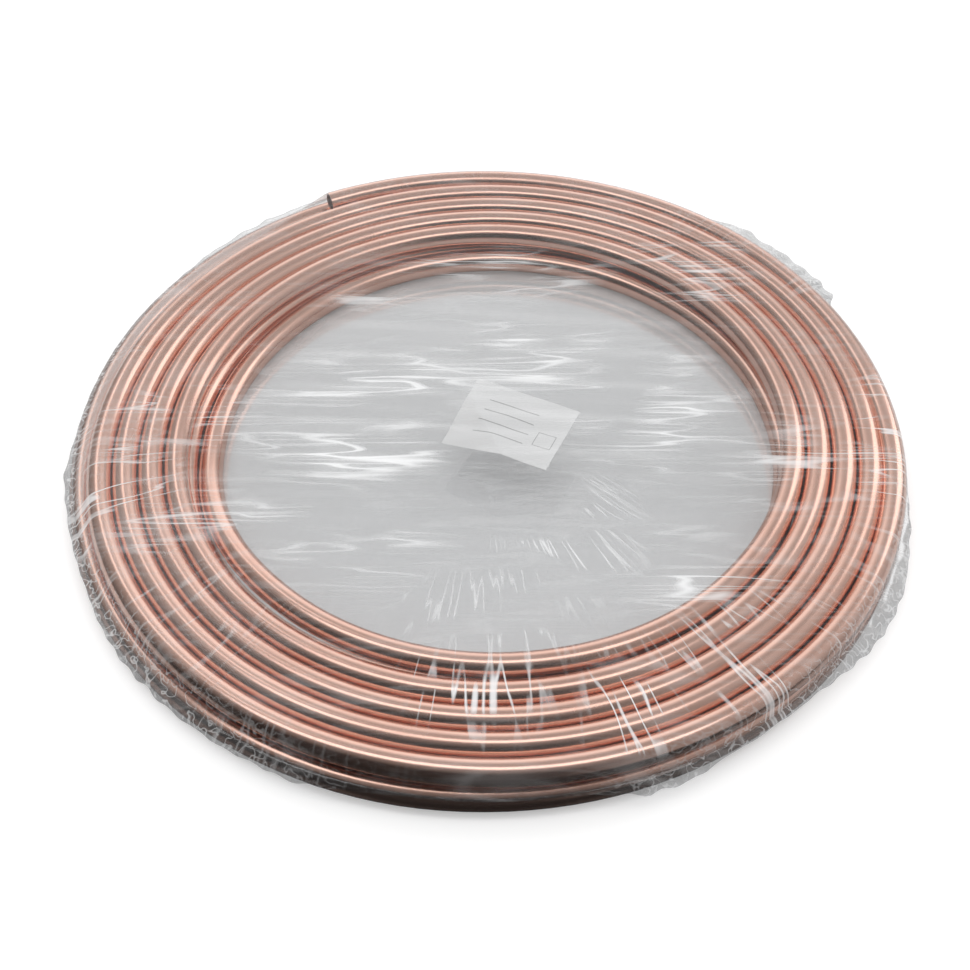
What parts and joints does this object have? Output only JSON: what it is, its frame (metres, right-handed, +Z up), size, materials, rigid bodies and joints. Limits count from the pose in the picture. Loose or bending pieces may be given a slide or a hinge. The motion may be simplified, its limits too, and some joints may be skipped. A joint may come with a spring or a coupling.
{
  "type": "copper tube coil",
  "caption": "Soft copper tube wound flat in two layers of spiral turns, sealed in a clear shrink film bag with a plain paper label.",
  "frame": {"origin": "on the floor, on the upright axis that the turns wind round, with the coil lying flat", "axes": "+Z up through the coil's bore, +Y towards the back, where the visible tube end is, +X to the right of a viewer facing +Y"},
  "size_m": [0.5594, 0.5687, 0.0331],
  "materials": {
    "copper": "bright drawn copper",
    "film": "clear shrink film",
    "paper": "plain white paper"
  },
  "bodies": {
    "root": {"tube_coil": "copper", "film_top_sheet": "film", "film_bottom_sheet": "film", "paper_label": "paper"}
  },
  "joints": []
}
